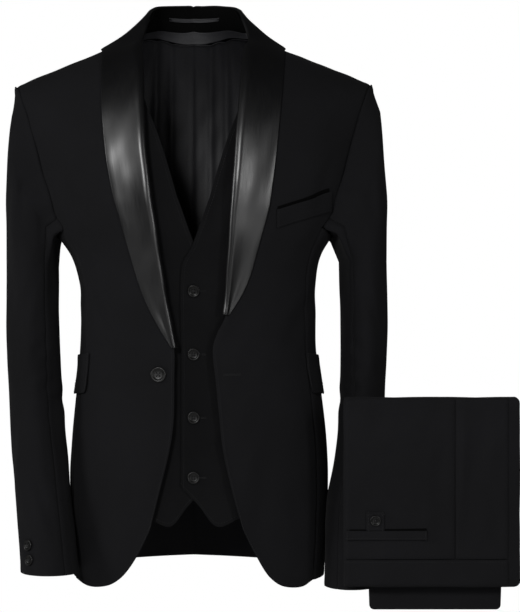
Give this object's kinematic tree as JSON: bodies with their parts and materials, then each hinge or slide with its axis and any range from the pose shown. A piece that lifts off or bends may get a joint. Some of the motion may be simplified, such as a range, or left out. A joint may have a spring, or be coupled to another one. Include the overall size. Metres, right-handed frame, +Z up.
{
  "type": "three-piece suit",
  "caption": "Shawl-collar dinner suit: an open one-button jacket over a buttoned waistcoat, in hollow worn form, with its folded trousers beside the sleeve.",
  "frame": {"origin": "centre of the neck opening at the height of the shoulder seams' neck ends, where the wearer carries the suit", "axes": "+Z up, -Y the front of the suit, +X the wearer's left"},
  "size_m": [0.6478, 0.2817, 0.779],
  "materials": {
    "worsted_wool": "fine matt worsted, near black",
    "satin_facing": "smooth satin weave with a soft sheen",
    "twill_lining": "smooth twill lining",
    "polished_button": "polished dark resin"
  },
  "bodies": {
    "root": {"jacket_front_right": "worsted_wool", "jacket_side_right": "worsted_wool", "jacket_back_right": "worsted_wool", "top_sleeve_right": "worsted_wool", "under_sleeve_right": "worsted_wool", "hip_flap_right": "worsted_wool", "waistcoat_front_right": "worsted_wool", "shawl_collar_right": "satin_facing", "waistcoat_back_right": "twill_lining", "cuff_button_right_1": "polished_button", "cuff_button_right_2": "polished_button", "jacket_front_left": "worsted_wool", "jacket_side_left": "worsted_wool", "jacket_back_left": "worsted_wool", "top_sleeve_left": "worsted_wool", "under_sleeve_left": "worsted_wool", "hip_flap_left": "worsted_wool", "waistcoat_front_left": "worsted_wool", "shawl_collar_left": "satin_facing", "waistcoat_back_left": "twill_lining", "cuff_button_left_1": "polished_button", "cuff_button_left_2": "polished_button", "collar_stand": "worsted_wool", "chest_welt": "worsted_wool", "waistcoat_neckband": "worsted_wool", "trousers_folded_legs": "worsted_wool", "trousers_lower_legs": "worsted_wool", "trousers_back_left": "worsted_wool", "trousers_back_right": "worsted_wool", "trousers_waistband": "worsted_wool", "trousers_pocket_welt": "worsted_wool", "trousers_pocket_tab": "worsted_wool", "hanger_loop": "twill_lining", "front_button": "polished_button", "trousers_button": "polished_button", "waistcoat_button_1": "polished_button", "waistcoat_button_2": "polished_button", "waistcoat_button_3": "polished_button", "waistcoat_button_4": "polished_button"}
  },
  "joints": []
}
